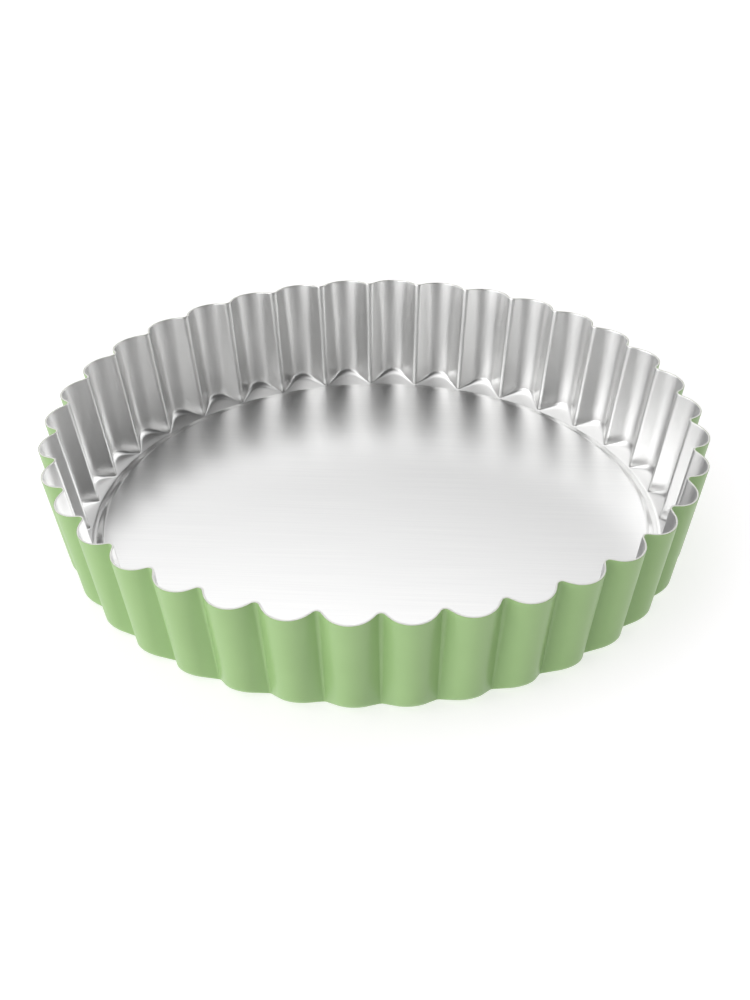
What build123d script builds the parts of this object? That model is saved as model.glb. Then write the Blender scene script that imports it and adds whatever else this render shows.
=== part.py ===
from build123d import *
import math
import os

# A round, deep, loose-bottomed tart pan in two pressed-metal pieces: a fluted ring with
# an inward ledge round its foot, and a base disc that lies loose on that ledge.
# Millimetres. +Z is up, the origin is at the centre of the underside, and four of the
# flutes point along +X, +Y, -X and -Y.

# ---- driving dimensions -------------------------------------------------------------
FLUTES = 36
SHEET = 0.8                 # thickness of the sheet metal, ring and base alike
HEIGHT = 50.0               # underside of the ledge to the top of the rim

RIM_LOBE = 140.0            # at HEIGHT: radius to the outside of a flute's outward lobe
RIM_RIDGE = 132.4           # at HEIGHT: radius to the inside of the ridge between two flutes
RIM_LOBE_BEND = 10.6        # at HEIGHT: bend radius of a lobe, to the middle of the sheet
RIM_RIDGE_BEND = 2.2        # at HEIGHT: bend radius of a ridge, to the middle of the sheet
FOOT_SCALE = 0.928          # radii at the foot, as a share of those at the rim
FOOT_LOBE_BEND = 8.2        # foot: bend radius of a lobe, to the middle of the sheet
FOOT_RIDGE_BEND = 1.4       # foot: bend radius of a ridge, to the middle of the sheet

FOOT_RADIUS = 122.5         # where the flat underside ends and the pocket floors begin
POCKET_SLOPE = 22.0         # rise of the floor inside each flute, degrees
CORNER_SLOPE = 62.0         # slope of the bend between pocket floor and flute wall, degrees
CORNER_RADIUS = 130.1       # radius at which the two slopes meet on the underside
CORNER_BEND = 4.0           # bend radius between them, on the underside
LEDGE_RADIUS = 113.5        # inner edge of the ledge that carries the base

BASE_RADIUS = 121.4         # outer edge of the loose base
FLANGE_INNER = 119.2        # where the base's flat flange ends and its step begins
PLATEAU_RADIUS = 116.8      # where the step ends and the raised middle begins
PLATEAU_RISE = 2.0          # height of the raised middle above the flange
STEP_BEND = 1.2             # bend radius on the inside of each bend of the step

CUT = 1.0                   # how far cutting bodies reach past what they cut

# ---- worked out ---------------------------------------------------------------------
PITCH = 360.0 / FLUTES
LOBE_MIDDLE = RIM_LOBE - SHEET / 2
RIDGE_MIDDLE = RIM_RIDGE + SHEET / 2
WALL_LEAN = (1.0 - FOOT_SCALE) * LOBE_MIDDLE / HEIGHT


# ---- fluted section -----------------------------------------------------------------
def between(foot, rim, z):
    """Size at height z, running evenly from the foot to the rim."""
    return foot + (rim - foot) * z / HEIGHT


def flute_wire(z, offset):
    """Closed fluted outline at height z, offset outwards from the middle of the sheet."""
    scale = between(FOOT_SCALE, 1.0, z)
    lobe_bend = between(FOOT_LOBE_BEND, RIM_LOBE_BEND, z)
    ridge_bend = between(FOOT_RIDGE_BEND, RIM_RIDGE_BEND, z)
    lobe_centre = LOBE_MIDDLE * scale - lobe_bend
    ridge_centre = RIDGE_MIDDLE * scale + ridge_bend

    # The straight flank touches both bends; tilt is the direction square to it.
    half_pitch = math.radians(PITCH / 2)
    run = ridge_centre * math.cos(half_pitch) - lobe_centre
    rise = ridge_centre * math.sin(half_pitch)
    tilt = math.atan2(rise, run) - math.acos((lobe_bend + ridge_bend) / math.hypot(run, rise))

    def point(centre, centre_angle, bend, bend_angle):
        x = centre * math.cos(centre_angle) + bend * math.cos(bend_angle)
        y = centre * math.sin(centre_angle) + bend * math.sin(bend_angle)
        return (x, y, z)

    edges = []
    lobe_out = lobe_bend + offset
    ridge_in = offset - ridge_bend
    for index in range(FLUTES):
        lobe = math.radians(index * PITCH)
        ridge = lobe + half_pitch
        following = lobe + 2 * half_pitch
        lobe_start = point(lobe_centre, lobe, lobe_out, lobe - tilt)
        lobe_middle = point(lobe_centre, lobe, lobe_out, lobe)
        lobe_end = point(lobe_centre, lobe, lobe_out, lobe + tilt)
        ridge_start = point(ridge_centre, ridge, ridge_in, lobe + tilt)
        ridge_middle = point(ridge_centre, ridge, ridge_in, ridge)
        ridge_end = point(ridge_centre, ridge, ridge_in, following - tilt)
        next_start = point(lobe_centre, following, lobe_out, following - tilt)
        edges.append(Edge.make_three_point_arc(lobe_start, lobe_middle, lobe_end))
        edges.append(Edge.make_line(lobe_end, ridge_start))
        edges.append(Edge.make_three_point_arc(ridge_start, ridge_middle, ridge_end))
        edges.append(Edge.make_line(ridge_end, next_start))
    return Wire(edges)


def fluted_cone(bottom, top, offset):
    """Solid tapering cone with straight fluted sides between two heights."""
    return Solid.make_loft([flute_wire(bottom, offset), flute_wire(top, offset)], ruled=True)


# ---- bowl that shapes the foot of every flute and the rim ---------------------------
def revolved(points, bends):
    """Solid of revolution about Z from (radius, height) points, with some corners rounded."""
    face = make_face(Polyline(*points, close=True))
    for corner, bend in bends:
        face = fillet(face.vertices().sort_by_distance(Vector(*corner))[0], bend)
    return revolve(Plane.XZ * face, axis=Axis.Z)


def foot_bowl(lift, rim_height):
    """Bowl with a flat floor, a pocket slope and a corner slope, each lifted square to itself
    by `lift`. Its top falls outwards, square to the wall, through the ridge at rim_height."""
    pocket = math.radians(POCKET_SLOPE)
    wall = math.radians(CORNER_SLOPE)
    foot = (FOOT_RADIUS - lift * math.tan(pocket / 2), lift)
    middle = (pocket + wall) / 2
    stretch = lift / math.cos((wall - pocket) / 2)
    corner = (
        CORNER_RADIUS - stretch * math.sin(middle),
        (CORNER_RADIUS - FOOT_RADIUS) * math.tan(pocket) + stretch * math.cos(middle),
    )
    apex = (0, rim_height + WALL_LEAN * RIM_RIDGE)
    reach = (apex[1] - corner[1] + corner[0] * math.tan(wall)) / (math.tan(wall) + WALL_LEAN)
    outside = (reach, apex[1] - WALL_LEAN * reach)
    return revolved([(0, lift), foot, corner, outside, apex], [(corner, CORNER_BEND - lift)])


# ---- the two pieces -----------------------------------------------------------------
def make_fluted_ring():
    """Pressed ring: fluted wall, sloping pocket floors and the ledge round its foot."""
    outside = fluted_cone(-CUT, HEIGHT + CUT, SHEET / 2) & foot_bowl(0, HEIGHT)
    inside = fluted_cone(-CUT, HEIGHT + 2 * CUT, -SHEET / 2) & foot_bowl(SHEET, HEIGHT + CUT)
    opening = Cylinder(LEDGE_RADIUS, 4 * CUT)
    return outside - inside - opening


def make_loose_base():
    """Base disc: flat flange on the ledge, rounded step, raised flat middle."""
    low = SHEET
    high = low + PLATEAU_RISE
    slope = math.atan2(PLATEAU_RISE, FLANGE_INNER - PLATEAU_RADIUS)
    shift = SHEET * math.tan(slope / 2)
    under = [(0, high), (PLATEAU_RADIUS, high), (FLANGE_INNER, low), (BASE_RADIUS, low)]
    over = [
        (BASE_RADIUS, low + SHEET),
        (FLANGE_INNER + shift, low + SHEET),
        (PLATEAU_RADIUS + shift, high + SHEET),
        (0, high + SHEET),
    ]
    bends = [
        (under[1], STEP_BEND),
        (over[2], STEP_BEND + SHEET),
        (over[1], STEP_BEND),
        (under[2], STEP_BEND + SHEET),
    ]
    return revolved(under + over, bends)


os.makedirs("parts", exist_ok=True)
NODES = {
    "fluted_ring": make_fluted_ring(),
    "loose_base": make_loose_base(),
}
for name, shape in NODES.items():
    export_step(shape, f"parts/{name}.step")
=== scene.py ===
import math

import bpy
import numpy as np
from mathutils import Matrix, Vector


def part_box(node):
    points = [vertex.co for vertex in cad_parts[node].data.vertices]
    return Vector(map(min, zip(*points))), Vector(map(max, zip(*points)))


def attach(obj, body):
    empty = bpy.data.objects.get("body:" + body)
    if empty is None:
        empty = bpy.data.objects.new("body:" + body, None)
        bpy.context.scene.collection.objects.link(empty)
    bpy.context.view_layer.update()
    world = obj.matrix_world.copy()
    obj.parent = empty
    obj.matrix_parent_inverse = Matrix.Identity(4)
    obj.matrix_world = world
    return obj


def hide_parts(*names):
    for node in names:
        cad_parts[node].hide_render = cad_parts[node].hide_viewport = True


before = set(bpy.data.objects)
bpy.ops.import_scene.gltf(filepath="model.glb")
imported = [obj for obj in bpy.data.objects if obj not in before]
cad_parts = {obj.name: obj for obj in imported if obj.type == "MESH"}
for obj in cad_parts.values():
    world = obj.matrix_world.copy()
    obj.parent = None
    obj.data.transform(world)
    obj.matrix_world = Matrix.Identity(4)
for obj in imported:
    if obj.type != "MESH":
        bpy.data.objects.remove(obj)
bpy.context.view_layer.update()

# Lengths are in millimetres until a mesh is made, and the object's frame is the CAD frame:
# +Z up, origin at the centre of the underside, four lobes on the X and Y axes.
MM = 0.001

# ---- sizes read from the frame ------------------------------------------------------
_, ring_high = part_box("fluted_ring")
base_low, base_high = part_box("loose_base")
HEIGHT = ring_high.z / MM
BASE_RADIUS = base_high.x / MM
BASE_BOTTOM = base_low.z / MM
BASE_TOP = base_high.z / MM

# ---- sizes of the pressing, the same as the CAD model's -----------------------------
FLUTES = 36
SHEET = 0.8
RIM_LOBE = 139.98           # at HEIGHT: outside of a lobe, a hair inside the CAD model's
RIM_RIDGE = 132.4           # at HEIGHT: inside of a ridge
RIM_LOBE_BEND = 10.6
RIM_RIDGE_BEND = 2.2
FOOT_SCALE = 0.928
FOOT_LOBE_BEND = 8.2
FOOT_RIDGE_BEND = 1.4
FOOT_RADIUS = 122.5
POCKET_SLOPE = math.radians(22.0)
LEDGE_RADIUS = 113.5
FLANGE_INNER = 119.2
PLATEAU_RADIUS = 116.8
STEP_BEND = 1.6             # to the middle of the sheet

# ---- finish of the pressing, finer than the CAD model's -----------------------------
COAT = 0.06                 # the coat is the outermost part of the sheet's thickness
FOOT_BEND = 3.2             # largest bend between ledge and pocket floor, sharp in the CAD model
POCKET_BEND = 9.0           # largest bend between pocket floor and wall, a short slope there
EDGE_ROUND = 0.16           # how far the cut edges are broken
SHOULDER = 0.3              # share of that at which the broken edge has its middle point
COAT_DEPTH = COAT * 1.2     # the coat's inner skin lies just inside the metal
COAT_EDGE = COAT * 0.5

# ---- how finely the pieces are divided ----------------------------------------------
LOBE_STEPS = 14
FLANK_STEPS = 4
RIDGE_STEPS = 8
FOOT_STEPS = 4
POCKET_STEPS = 9
STEP_STEPS = 6
LEDGE_ROWS = (LEDGE_RADIUS, 115.5, 118.0, 120.5)
SLOPE_SHARES = (0.25, 0.5, 0.75)
WALL_SHARES = (0.05, 0.15, 0.3, 0.5, 0.7, 0.85, 0.95, 0.99, 1.0)
BASE_COLUMNS = 288
FLAT_ROWS = (10, 25, 40, 55, 70, 82, 92, 100, 106, 110, 113)
FLANGE_ROWS = (120.6, BASE_RADIUS)

PITCH = 2 * math.pi / FLUTES
WALL_LEAN = (1 - FOOT_SCALE) * (RIM_LOBE - SHEET / 2) / HEIGHT


# ---- small tools --------------------------------------------------------------------
def mesh_object(name, points, faces):
    """Smooth-shaded mesh object from points in millimetres."""
    mesh = bpy.data.meshes.new(name)
    mesh.from_pydata((np.asarray(points) * MM).tolist(), [], faces)
    mesh.update()
    mesh.shade_smooth()
    made = bpy.data.objects.new(name, mesh)
    bpy.context.scene.collection.objects.link(made)
    return made


def grid_faces(rows, columns, bands):
    """Quads between rows of a grid that closes on itself; bands is how many gaps are filled."""
    faces = []
    for row in range(bands):
        following = (row + 1) % rows
        for column in range(columns):
            beside = (column + 1) % columns
            faces.append((
                row * columns + column,
                row * columns + beside,
                following * columns + beside,
                following * columns + column,
            ))
    return faces


def grain_along(mesh, name, bands, columns):
    """UV layer whose U runs along the columns, for grain that follows them round the axis."""
    row = np.repeat(np.arange(bands), columns)
    column = np.tile(np.arange(columns), bands)
    u = np.stack([column, column + 1, column + 1, column], axis=1) / columns
    v = np.stack([row, row, row + 1, row + 1], axis=1) / bands
    place = np.zeros((len(mesh.loops), 2), np.float32)
    place[:u.size] = np.stack([u, v], axis=2).reshape(-1, 2)
    layer = mesh.uv_layers.new(name=name)
    layer.data.foreach_set("uv", place.ravel())


def store(mesh, name, values):
    """Keep one number for each vertex, for a material to read."""
    attribute = mesh.attributes.new(name, "FLOAT", "POINT")
    attribute.data.foreach_set("value", np.asarray(values, np.float32))


# ---- the fluted section -------------------------------------------------------------
def flute_section(scale, lobe_bend, ridge_bend):
    """Angles and radii along one flute, to the middle of the sheet."""
    lobe_centre = (RIM_LOBE - SHEET / 2) * scale - lobe_bend
    ridge_centre = (RIM_RIDGE + SHEET / 2) * scale + ridge_bend
    ridge_angle = PITCH / 2
    run = ridge_centre * math.cos(ridge_angle) - lobe_centre
    rise = ridge_centre * math.sin(ridge_angle)
    tilt = math.atan2(rise, run) - math.acos((lobe_bend + ridge_bend) / math.hypot(run, rise))

    half_ridge = tilt - ridge_angle
    lobe = np.linspace(-tilt, tilt, LOBE_STEPS + 1)
    lobe_x = lobe_centre + lobe_bend * np.cos(lobe)
    lobe_y = lobe_bend * np.sin(lobe)
    ridge = ridge_angle + np.linspace(half_ridge, -half_ridge, RIDGE_STEPS + 1)
    ridge_x = ridge_centre * math.cos(ridge_angle) - ridge_bend * np.cos(ridge)
    ridge_y = ridge_centre * math.sin(ridge_angle) - ridge_bend * np.sin(ridge)

    between = np.linspace(0, 1, FLANK_STEPS + 1)[1:-1]
    first_x = lobe_x[-1] + (ridge_x[0] - lobe_x[-1]) * between
    first_y = lobe_y[-1] + (ridge_y[0] - lobe_y[-1]) * between
    last_x = lobe_x[0] * math.cos(PITCH) - lobe_y[0] * math.sin(PITCH)
    last_y = lobe_x[0] * math.sin(PITCH) + lobe_y[0] * math.cos(PITCH)
    second_x = ridge_x[-1] + (last_x - ridge_x[-1]) * between
    second_y = ridge_y[-1] + (last_y - ridge_y[-1]) * between

    x = np.concatenate([lobe_x, first_x, ridge_x, second_x])
    y = np.concatenate([lobe_y, first_y, ridge_y, second_y])
    return np.arctan2(y, x), np.hypot(x, y)


def whole_section(scale, lobe_bend, ridge_bend):
    """The section all the way round: one angle and one radius for each column."""
    angle, radius = flute_section(scale, lobe_bend, ridge_bend)
    angles = np.concatenate([angle + index * PITCH for index in range(FLUTES)])
    return angles, np.tile(radius, FLUTES)


# ---- the profile from ledge to rim --------------------------------------------------
def bend_points(corner, towards_start, towards_end, bend, steps):
    """Arc that rounds a corner between two directions; bend may differ from column to column."""
    first_way = np.arctan2(-towards_start[1], -towards_start[0])
    turn = np.arctan2(towards_end[1], towards_end[0]) - first_way
    cut = bend * np.tan(turn / 2)
    start = (corner[0] + cut * towards_start[0], corner[1] + cut * towards_start[1])
    # The centre lies square to the first leg, on the inside of the bend.
    centre = (start[0] + bend * towards_start[1], start[1] - bend * towards_start[0])
    first = np.arctan2(start[1] - centre[1], start[0] - centre[0])
    return [
        (centre[0] + bend * np.cos(first + turn * t), centre[1] + bend * np.sin(first + turn * t))
        for t in np.linspace(0, 1, steps + 1)
    ]


def between_points(start, last, shares):
    """Points that share out the straight line from start to last."""
    return [
        (start[0] + (last[0] - start[0]) * t, start[1] + (last[1] - start[1]) * t)
        for t in shares
    ]


def ring_profile(foot_section, rim_section):
    """Rows of (radius, height) to the middle of the sheet, from the ledge's edge to the rim."""
    floor = SHEET / 2
    ones = np.ones_like(rim_section)
    taper = (rim_section - foot_section) / HEIGHT
    foot = (ones * (FOOT_RADIUS - floor * math.tan(POCKET_SLOPE / 2)), ones * floor)
    climb = (foot_section + taper * floor - foot[0]) / (1 / math.tan(POCKET_SLOPE) - taper)
    corner = (foot[0] + climb / math.tan(POCKET_SLOPE), floor + climb)
    slope_length = np.hypot(corner[0] - foot[0], corner[1] - foot[1])

    along_slope = (ones * math.cos(POCKET_SLOPE), ones * math.sin(POCKET_SLOPE))
    wall_length = np.hypot(taper, 1)
    up_wall = (taper / wall_length, 1 / wall_length)
    # Both bends shrink towards the ridges, where the pocket floor is too short for them.
    foot_bend = 1 / np.sqrt(1 / FOOT_BEND ** 2 + 1 / (2.0 * slope_length) ** 2)
    pocket_bend = 1 / np.sqrt(1 / POCKET_BEND ** 2 + 1 / (0.7 * slope_length) ** 2)

    # The rim is cut square to the wall, so a ridge stands a little higher than a lobe.
    rim_height = (HEIGHT - WALL_LEAN * (foot_section - RIM_RIDGE)) / (1 + WALL_LEAN * taper)
    rim = (foot_section + taper * rim_height, rim_height)

    rows = [(ones * radius, foot[1]) for radius in LEDGE_ROWS]
    rows += bend_points(foot, (-ones, 0 * ones), along_slope, foot_bend, FOOT_STEPS)
    down_slope = (-along_slope[0], -along_slope[1])
    bend = bend_points(corner, down_slope, up_wall, pocket_bend, POCKET_STEPS)
    rows += between_points(rows[-1], bend[0], SLOPE_SHARES)
    rows += bend
    rows += between_points(rows[-1], rim, WALL_SHARES)
    return rows


def ring_middle():
    """Grid of points on the middle of the sheet, with its outward normals."""
    foot_angles, foot_section = whole_section(FOOT_SCALE, FOOT_LOBE_BEND, FOOT_RIDGE_BEND)
    rim_angles, rim_section = whole_section(1.0, RIM_LOBE_BEND, RIM_RIDGE_BEND)
    rows = ring_profile(foot_section, rim_section)
    points = []
    for radius, height in rows:
        angles = foot_angles + (rim_angles - foot_angles) * height / HEIGHT
        points.append(np.stack([radius * np.cos(angles), radius * np.sin(angles), height], axis=1))
    points = np.array(points)
    around = np.roll(points, -1, axis=1) - np.roll(points, 1, axis=1)
    along = np.gradient(points, axis=0)
    normals = np.cross(around, along)
    normals /= np.linalg.norm(normals, axis=2, keepdims=True)
    return points, normals


def offset_shell(points, normals, outer, inner, edge):
    """Closed skin between two offsets of the sheet, with broken edges at the ledge and the rim."""
    shoulder = edge * SHOULDER

    def shifted(row, offset, pull):
        away = points[row] - points[row - 1 if row > 0 else 1]
        away /= np.linalg.norm(away, axis=1, keepdims=True)
        return points[row] + normals[row] * offset - away * pull

    last = len(points) - 1
    rows = [shifted(0, outer, edge)]
    rows += [points[row] + normals[row] * outer for row in range(1, last)]
    rows += [shifted(last, outer, edge)]
    rows += [shifted(last, outer - shoulder, shoulder), shifted(last, outer - edge, 0)]
    rows += [shifted(last, inner + edge, 0), shifted(last, inner + shoulder, shoulder)]
    rows += [shifted(last, inner, edge)]
    rows += [points[row] + normals[row] * inner for row in range(last - 1, 0, -1)]
    rows += [shifted(0, inner, edge)]
    rows += [shifted(0, inner + shoulder, shoulder), shifted(0, inner + edge, 0)]
    rows += [shifted(0, outer - edge, 0), shifted(0, outer - shoulder, shoulder)]
    return np.array(rows)


# ---- pieces -------------------------------------------------------------------------
def make_ring_metal(points, normals):
    """The pressed sheet of the ring, without its coat."""
    rows = offset_shell(points, normals, SHEET / 2 - COAT, -SHEET / 2, EDGE_ROUND)
    count = len(rows)
    columns = rows.shape[1]
    ring = mesh_object("ring_metal", rows.reshape(-1, 3), grid_faces(count, columns, count))
    grain_along(ring.data, "grain", count, columns)
    last = len(points) - 1
    # The four rows after the outside's last one are the cut rim.
    cut = np.zeros((count, columns))
    cut[last + 1:last + 5] = 1.0
    store(ring.data, "cut_edge", cut.ravel())
    ring.data.materials.append(sheet_metal())
    return ring


def make_ring_coat(points, normals):
    """The coat on the outside of the ring, from the rim's outer corner to the ledge's edge."""
    rows = offset_shell(points, normals, SHEET / 2, SHEET / 2 - COAT_DEPTH, COAT_EDGE)
    faces = grid_faces(len(rows), rows.shape[1], len(rows))
    coat = mesh_object("ring_coat", rows.reshape(-1, 3), faces)
    coat.data.materials.append(green_coat())
    return coat


def base_profile():
    """Rows of (radius, height) to the middle of the base's sheet, from the middle to the edge."""
    low = BASE_BOTTOM + SHEET / 2
    high = BASE_TOP - SHEET / 2
    slope = math.atan2(high - low, FLANGE_INNER - PLATEAU_RADIUS)
    cut = STEP_BEND * math.tan(slope / 2)
    turns = np.linspace(0, slope, STEP_STEPS + 1)
    top_centre = (PLATEAU_RADIUS - cut, high - STEP_BEND)
    low_centre = (FLANGE_INNER + cut, low + STEP_BEND)

    rows = [(radius, high) for radius in FLAT_ROWS]
    rows += [
        (top_centre[0] + STEP_BEND * math.sin(turn), top_centre[1] + STEP_BEND * math.cos(turn))
        for turn in turns
    ]
    rows += [
        (low_centre[0] - STEP_BEND * math.sin(turn), low_centre[1] - STEP_BEND * math.cos(turn))
        for turn in turns[::-1]
    ]
    rows += [(radius, low) for radius in FLANGE_ROWS]
    return rows


def revolved(profile, columns):
    """Grid of points round the axis for the rows of a profile, with its upward normals."""
    angles = np.arange(columns) * 2 * math.pi / columns
    points = np.array([
        np.stack([radius * np.cos(angles), radius * np.sin(angles), np.full(columns, height)], axis=1)
        for radius, height in profile
    ])
    along = np.gradient(points, axis=0)
    around = np.roll(points, -1, axis=1) - np.roll(points, 1, axis=1)
    normals = np.cross(along, around)
    normals /= np.linalg.norm(normals, axis=2, keepdims=True)
    return points, normals


def disc_shell(points, normals):
    """Skin of the disc: out along the top, round the broken edge and back along the underside."""
    last = len(points) - 1
    half = SHEET / 2
    shoulder = EDGE_ROUND * SHOULDER

    def edge_row(offset, pull):
        away = points[last] - points[last - 1]
        away /= np.linalg.norm(away, axis=1, keepdims=True)
        return points[last] + normals[last] * offset - away * pull

    rows = [points[row] + normals[row] * half for row in range(last)]
    rows += [edge_row(half, EDGE_ROUND), edge_row(half - shoulder, shoulder)]
    rows += [edge_row(half - EDGE_ROUND, 0), edge_row(EDGE_ROUND - half, 0)]
    rows += [edge_row(shoulder - half, shoulder), edge_row(-half, EDGE_ROUND)]
    rows += [points[row] - normals[row] * half for row in range(last - 1, -1, -1)]
    return np.array(rows)


def grain_across(mesh, name, points):
    """UV layer laid flat over the disc, whose U runs along X."""
    layer = mesh.uv_layers.new(name=name)
    corner_vertex = np.zeros(len(mesh.loops), np.int32)
    mesh.loops.foreach_get("vertex_index", corner_vertex)
    place = points.reshape(-1, 3)[corner_vertex][:, :2] / (2 * BASE_RADIUS) + 0.5
    layer.data.foreach_set("uv", place.astype(np.float32).ravel())


def make_base():
    """The loose base disc, a thin pressed sheet with a stepped edge."""
    rows = disc_shell(*revolved(base_profile(), BASE_COLUMNS))
    count = len(rows)
    faces = grid_faces(count, BASE_COLUMNS, count - 1)
    faces.append(tuple(reversed(range(BASE_COLUMNS))))
    faces.append(tuple(range((count - 1) * BASE_COLUMNS, count * BASE_COLUMNS)))
    base = mesh_object("base_disc", rows.reshape(-1, 3), faces)
    grain_along(base.data, "turned", count - 1, BASE_COLUMNS)
    grain_across(base.data, "rolled", rows)

    flat = len(FLAT_ROWS) * BASE_COLUMNS
    turned = np.zeros(len(faces), np.int32)
    turned[flat:(count - 1) * BASE_COLUMNS - flat] = 1
    base.data.materials.append(rolled_metal())
    base.data.materials.append(turned_metal())
    base.data.polygons.foreach_set("material_index", turned)
    return base


# ---- materials ----------------------------------------------------------------------
def new_material(name):
    """Empty material with a Principled shader and an output, ready for its own nodes."""
    material = bpy.data.materials.new(name)
    material.use_nodes = True
    nodes = material.node_tree.nodes
    nodes.clear()
    shader = nodes.new("ShaderNodeBsdfPrincipled")
    output = nodes.new("ShaderNodeOutputMaterial")
    material.node_tree.links.new(shader.outputs["BSDF"], output.inputs["Surface"])
    return material, nodes, material.node_tree.links, shader


def noise(nodes, links, coordinates, scale, detail=3.0, stretch=(1, 1, 1)):
    """Noise in the object's own metres, stretched along an axis for grain."""
    mapping = nodes.new("ShaderNodeMapping")
    mapping.inputs["Scale"].default_value = stretch
    texture = nodes.new("ShaderNodeTexNoise")
    texture.inputs["Scale"].default_value = scale
    texture.inputs["Detail"].default_value = detail
    links.new(coordinates, mapping.inputs["Vector"])
    links.new(mapping.outputs["Vector"], texture.inputs["Vector"])
    return texture.outputs["Fac"]


def spread(nodes, links, value, low, high, from_low=0.3, from_high=0.7):
    """The value spread from one range to another."""
    node = nodes.new("ShaderNodeMapRange")
    node.inputs["From Min"].default_value = from_low
    node.inputs["From Max"].default_value = from_high
    node.inputs["To Min"].default_value = low
    node.inputs["To Max"].default_value = high
    links.new(value, node.inputs["Value"])
    return node.outputs["Result"]


def blend_colours(nodes, links, factor, first, second):
    """Mix of two colours by a factor."""
    node = nodes.new("ShaderNodeMix")
    node.data_type = "RGBA"
    node.inputs["A"].default_value = (*first, 1)
    node.inputs["B"].default_value = (*second, 1)
    links.new(factor, node.inputs["Factor"])
    return node.outputs["Result"]


def bump(nodes, links, height, shader, strength, distance):
    """Fine relief on a shader."""
    node = nodes.new("ShaderNodeBump")
    node.inputs["Strength"].default_value = strength
    node.inputs["Distance"].default_value = distance
    links.new(height, node.inputs["Height"])
    links.new(node.outputs["Normal"], shader.inputs["Normal"])


def set_grain(nodes, links, shader, layer, anisotropy):
    """Grain along the U direction of a UV layer, which smears reflections square to it."""
    shader.inputs["Anisotropic"].default_value = anisotropy
    tangent = nodes.new("ShaderNodeTangent")
    tangent.direction_type = "UV_MAP"
    tangent.uv_map = layer
    links.new(tangent.outputs["Tangent"], shader.inputs["Tangent"])


def sheet_metal():
    """Satin bare sheet of the ring's inside, lighter and duller on the cut rim."""
    material, nodes, links, shader = new_material("satin_sheet_metal")
    place = nodes.new("ShaderNodeTexCoord").outputs["Object"]
    set_grain(nodes, links, shader, "grain", 0.3)
    cloud = noise(nodes, links, place, 40.0, 2.0)
    grain = noise(nodes, links, place, 900.0, 2.0, (1, 1, 0.05))
    share = spread(nodes, links, cloud, 0, 1)
    tone = blend_colours(nodes, links, share, (0.80, 0.80, 0.795), (0.83, 0.83, 0.825))
    cut = nodes.new("ShaderNodeAttribute")
    cut.attribute_name = "cut_edge"
    edge = nodes.new("ShaderNodeMix")
    edge.data_type = "RGBA"
    edge.inputs["B"].default_value = (0.84, 0.84, 0.80, 1)
    links.new(cut.outputs["Fac"], edge.inputs["Factor"])
    links.new(tone, edge.inputs["A"])
    links.new(edge.outputs["Result"], shader.inputs["Base Color"])
    polish = nodes.new("ShaderNodeMix")
    polish.inputs["B"].default_value = 0.6
    links.new(cut.outputs["Fac"], polish.inputs["Factor"])
    links.new(spread(nodes, links, cloud, 0.29, 0.31), polish.inputs["A"])
    links.new(polish.outputs["Result"], shader.inputs["Roughness"])
    links.new(spread(nodes, links, cut.outputs["Fac"], 1, 0, 0, 1), shader.inputs["Metallic"])
    bump(nodes, links, grain, shader, 0.012, 0.0001)
    return material


def rolled_metal():
    """Rolled sheet of the loose base: grain along X, so that reflections smear along Y."""
    material, nodes, links, shader = new_material("rolled_base_metal")
    place = nodes.new("ShaderNodeTexCoord").outputs["Object"]
    shader.inputs["Metallic"].default_value = 1.0
    set_grain(nodes, links, shader, "rolled", 0.55)
    lines = noise(nodes, links, place, 1400.0, 2.0, (0.012, 1, 1))
    cloud = noise(nodes, links, place, 12.0, 1.0)
    share = spread(nodes, links, lines, 0, 1)
    tone = blend_colours(nodes, links, share, (0.86, 0.86, 0.86), (0.90, 0.90, 0.895))
    links.new(tone, shader.inputs["Base Color"])
    links.new(spread(nodes, links, cloud, 0.28, 0.30, 0.1, 0.9), shader.inputs["Roughness"])
    bump(nodes, links, lines, shader, 0.03, 0.0001)
    return material


def turned_metal():
    """Stepped edge that the tool has marked round the axis: reflections smear outwards."""
    material, nodes, links, shader = new_material("turned_edge_metal")
    place = nodes.new("ShaderNodeTexCoord").outputs["Object"]
    shader.inputs["Metallic"].default_value = 1.0
    set_grain(nodes, links, shader, "turned", 0.8)
    cloud = noise(nodes, links, place, 60.0)
    share = spread(nodes, links, cloud, 0, 1)
    tone = blend_colours(nodes, links, share, (0.90, 0.90, 0.895), (0.93, 0.93, 0.925))
    links.new(tone, shader.inputs["Base Color"])
    links.new(spread(nodes, links, cloud, 0.36, 0.40), shader.inputs["Roughness"])
    return material


def green_coat():
    """Satin green coat with a faint orange peel."""
    material, nodes, links, shader = new_material("green_satin_coat")
    place = nodes.new("ShaderNodeTexCoord").outputs["Object"]
    cloud = noise(nodes, links, place, 45.0)
    peel = noise(nodes, links, place, 1100.0, 2.0)
    share = spread(nodes, links, cloud, 0, 1)
    tone = blend_colours(nodes, links, share, (0.30, 0.47, 0.19), (0.32, 0.495, 0.205))
    links.new(tone, shader.inputs["Base Color"])
    links.new(spread(nodes, links, cloud, 0.34, 0.40), shader.inputs["Roughness"])
    bump(nodes, links, peel, shader, 0.08, 0.0002)
    return material


# ---- scene: floor, light, camera ----------------------------------------------------
FLOOR_REACH = 4000.0
FLOOR_GLOW = 0.69                   # a lit floor, as on a product table
DIM_SKY = 0.08                      # surroundings where nothing is lit

# Glows of the surroundings: degrees round from +X, degrees up, degrees from the middle at which
# each is full and at which it ends, strength.
GLOWS = (
    (204, 56, 1, 48, 1.45),
    (40, 22, 1, 40, 1.95),
    (101, 50, 2, 26, 1.75),
    (220, -27, 30, 65, 3.40),
    (190, 40, 4, 17, 0.70),
)


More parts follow.
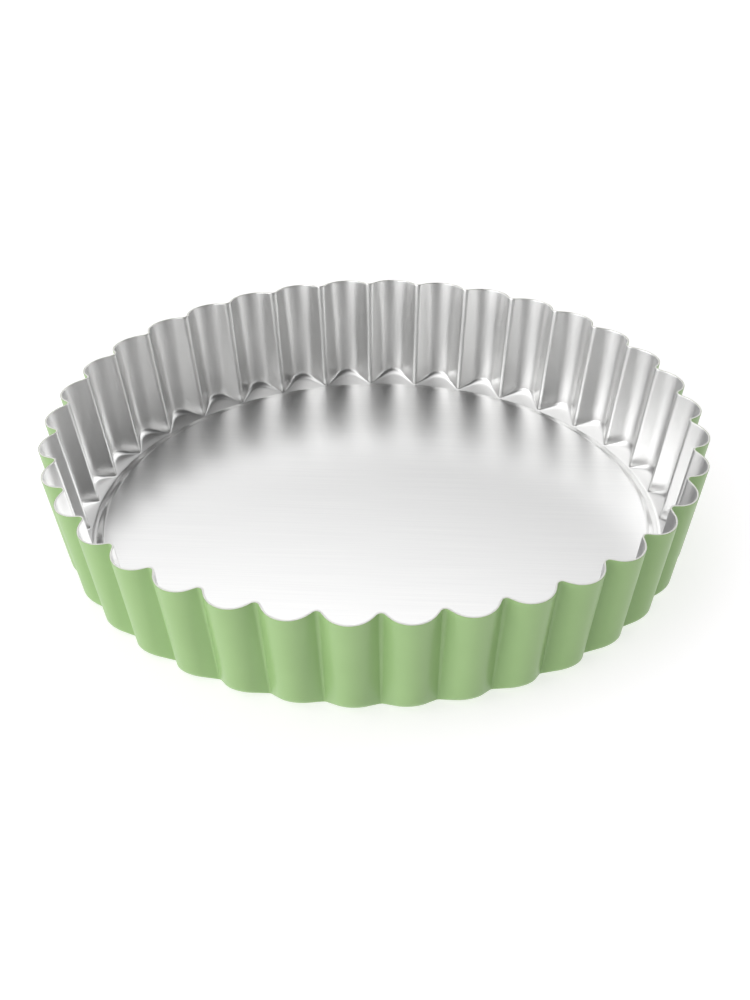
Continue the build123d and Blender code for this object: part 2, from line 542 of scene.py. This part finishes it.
def make_floor():
    """Plain pale floor, far wider than the view."""
    reach = FLOOR_REACH
    floor = mesh_object(
        "floor",
        [(-reach, -reach, 0), (reach, -reach, 0), (reach, reach, 0), (-reach, reach, 0)],
        [(0, 1, 2, 3)],
    )
    material, nodes, links, shader = new_material("pale_floor")
    place = nodes.new("ShaderNodeTexCoord").outputs["Object"]
    cloud = noise(nodes, links, place, 3.0)
    share = spread(nodes, links, cloud, 0, 1)
    tone = blend_colours(nodes, links, share, (0.49, 0.455, 0.495), (0.51, 0.475, 0.515))
    links.new(tone, shader.inputs["Base Color"])
    shader.inputs["Roughness"].default_value = 0.8
    shader.inputs["Emission Color"].default_value = (1, 1, 1, 1)
    shader.inputs["Emission Strength"].default_value = FLOOR_GLOW
    floor.data.materials.append(material)


def sky_direction(round_axis, up):
    """Unit vector towards a point of the sky, from degrees round +Z and degrees up."""
    level = math.cos(math.radians(up))
    turn = math.radians(round_axis)
    return Vector((level * math.cos(turn), level * math.sin(turn), math.sin(math.radians(up))))


def make_world():
    """Studio surroundings by direction: dim, with a few soft glows, and no lamps."""
    world = bpy.data.worlds.new("studio")
    world.use_nodes = True
    nodes = world.node_tree.nodes
    links = world.node_tree.links
    direction = nodes.new("ShaderNodeTexCoord").outputs["Generated"]
    total = None
    for round_axis, up, full, end, strength in GLOWS:
        cosine = nodes.new("ShaderNodeVectorMath")
        cosine.operation = "DOT_PRODUCT"
        cosine.inputs[1].default_value = sky_direction(round_axis, up)
        links.new(direction, cosine.inputs[0])
        glow = nodes.new("ShaderNodeMapRange")
        glow.interpolation_type = "SMOOTHSTEP"
        glow.inputs["From Min"].default_value = math.cos(math.radians(end))
        glow.inputs["From Max"].default_value = math.cos(math.radians(full))
        glow.inputs["To Max"].default_value = strength
        links.new(cosine.outputs["Value"], glow.inputs["Value"])
        add = nodes.new("ShaderNodeMath")
        add.operation = "ADD"
        add.inputs[1].default_value = DIM_SKY
        if total is not None:
            links.new(total, add.inputs[1])
        links.new(glow.outputs["Result"], add.inputs[0])
        total = add.outputs["Value"]
    background = nodes["Background"]
    background.inputs["Color"].default_value = (1, 1, 1, 1)
    links.new(total, background.inputs["Strength"])
    bpy.context.scene.world = world


VIEW_TURN = math.radians(4.25)      # camera's place round the pan, from -Y towards +X
VIEW_RISE = 0.5725                  # radians above the horizon
VIEW_ROLL = -0.0102
VIEW_DISTANCE = 0.8113
VIEW_DROP = -0.0313                 # how far below the line to the rim's centre the camera sits
VIEW_LENS = 69.75


def make_camera():
    """Camera at the viewing angle, aimed a little below the centre of the rim."""
    back = Vector((0, -math.cos(VIEW_RISE), math.sin(VIEW_RISE)))
    up = Vector((0, math.sin(VIEW_RISE), math.cos(VIEW_RISE)))
    right = Vector((1, 0, 0))
    place = back * VIEW_DISTANCE + up * VIEW_DROP
    axes = Matrix((right, up, back)).transposed().to_4x4()
    turn = Matrix.Rotation(VIEW_TURN, 4, "Z")
    roll = Matrix.Rotation(VIEW_ROLL, 4, "Z")
    data = bpy.data.cameras.new("camera")
    data.lens = VIEW_LENS
    data.sensor_width = 36.0
    data.clip_start = 0.01
    camera = bpy.data.objects.new("camera", data)
    rim_centre = Matrix.Translation((0, 0, HEIGHT * MM))
    camera.matrix_world = rim_centre @ turn @ Matrix.Translation(place) @ axes @ roll
    bpy.context.scene.collection.objects.link(camera)
    bpy.context.scene.camera = camera


def make_studio():
    """Lit floor and glowing surroundings, shown with plain colours."""
    make_floor()
    make_world()
    bpy.context.scene.view_settings.view_transform = "Standard"


# ---- put together -------------------------------------------------------------------
middle_points, middle_normals = ring_middle()
ring_metal = make_ring_metal(middle_points, middle_normals)
ring_coat = make_ring_coat(middle_points, middle_normals)
base_disc = make_base()

for piece, body, node, slot in (
    (ring_metal, "ring", "fluted_ring", "bare_metal"),
    (ring_coat, "ring", "fluted_ring", "green_coat"),
    (base_disc, "base", "loose_base", "bare_metal"),
):
    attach(piece, body)
    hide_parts(node)

make_studio()
make_camera()
